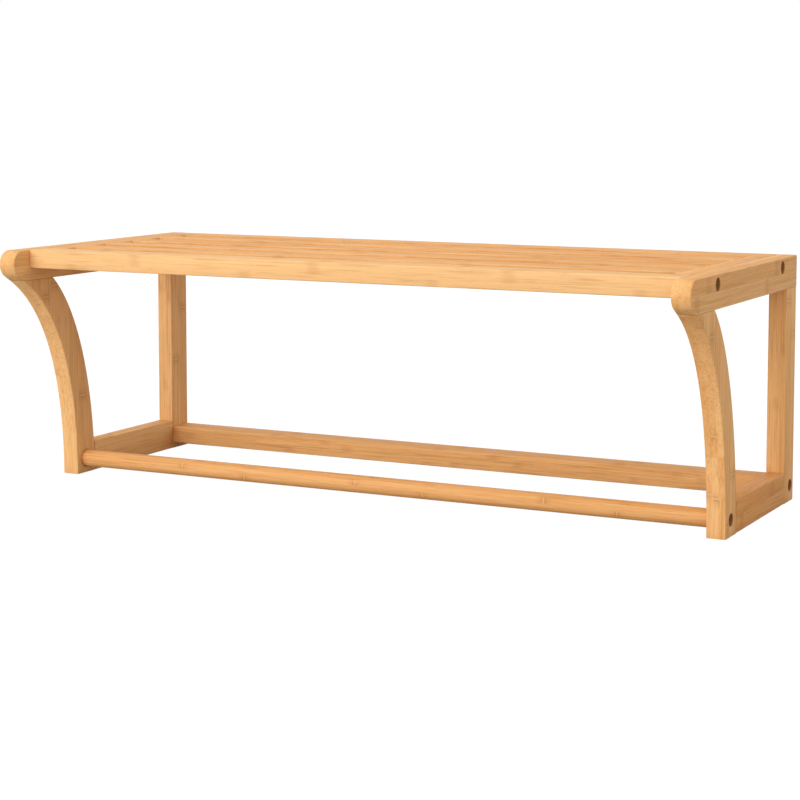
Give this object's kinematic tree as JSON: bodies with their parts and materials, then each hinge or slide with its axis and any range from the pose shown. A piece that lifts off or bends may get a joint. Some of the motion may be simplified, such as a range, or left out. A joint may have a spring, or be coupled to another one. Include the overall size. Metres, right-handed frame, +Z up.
{
  "type": "wall shelf with towel rail",
  "caption": "Slatted bamboo wall shelf on two side frames with swept front legs, with a round towel rail in front below the deck and a flat rail behind.",
  "frame": {"origin": "middle of the bounding box's bottom face, level with the feet", "axes": "+X along the shelf, +Y towards the wall it hangs on, +Z up"},
  "size_m": [0.6, 0.26, 0.2],
  "materials": {
    "bamboo_board": "laminated bamboo board, planed and satin lacquered",
    "bamboo_rod": "turned bamboo rod, satin lacquered",
    "beech_dowel": "bare beech, glued in",
    "blackened_steel": "blackened steel screw"
  },
  "bodies": {
    "root": {"left_top_rail": "bamboo_board", "left_front_leg": "bamboo_board", "left_rear_post": "bamboo_board", "left_lower_rail": "bamboo_board", "right_top_rail": "bamboo_board", "right_front_leg": "bamboo_board", "right_rear_post": "bamboo_board", "right_lower_rail": "bamboo_board", "front_slat": "bamboo_board", "deck_slat_2": "bamboo_board", "deck_slat_3": "bamboo_board", "deck_slat_4": "bamboo_board", "deck_slat_5": "bamboo_board", "rear_slat": "bamboo_board", "left_deck_batten": "bamboo_board", "right_deck_batten": "bamboo_board", "rear_lower_rail": "bamboo_board", "towel_rail": "bamboo_rod", "left_neck_dowel_1": "beech_dowel", "left_neck_dowel_2": "beech_dowel", "left_post_dowel_1": "beech_dowel", "left_post_dowel_2": "beech_dowel", "left_calf_dowel_1": "beech_dowel", "left_heel_dowel_1": "beech_dowel", "left_deck_dowel_1": "beech_dowel", "left_deck_dowel_2": "beech_dowel", "left_slat_dowel_2": "beech_dowel", "left_slat_dowel_3": "beech_dowel", "left_slat_dowel_4": "beech_dowel", "left_slat_dowel_5": "beech_dowel", "right_neck_dowel_1": "beech_dowel", "right_neck_dowel_2": "beech_dowel", "right_post_dowel_1": "beech_dowel", "right_post_dowel_2": "beech_dowel", "right_calf_dowel_1": "beech_dowel", "right_heel_dowel_1": "beech_dowel", "right_deck_dowel_1": "beech_dowel", "right_deck_dowel_2": "beech_dowel", "right_slat_dowel_2": "beech_dowel", "right_slat_dowel_3": "beech_dowel", "right_slat_dowel_4": "beech_dowel", "right_slat_dowel_5": "beech_dowel", "left_front_deck_screw": "blackened_steel", "left_rear_deck_screw": "blackened_steel", "left_towel_rail_screw": "blackened_steel", "left_rear_rail_screw": "blackened_steel", "right_front_deck_screw": "blackened_steel", "right_rear_deck_screw": "blackened_steel", "right_towel_rail_screw": "blackened_steel", "right_rear_rail_screw": "blackened_steel"}
  },
  "joints": []
}
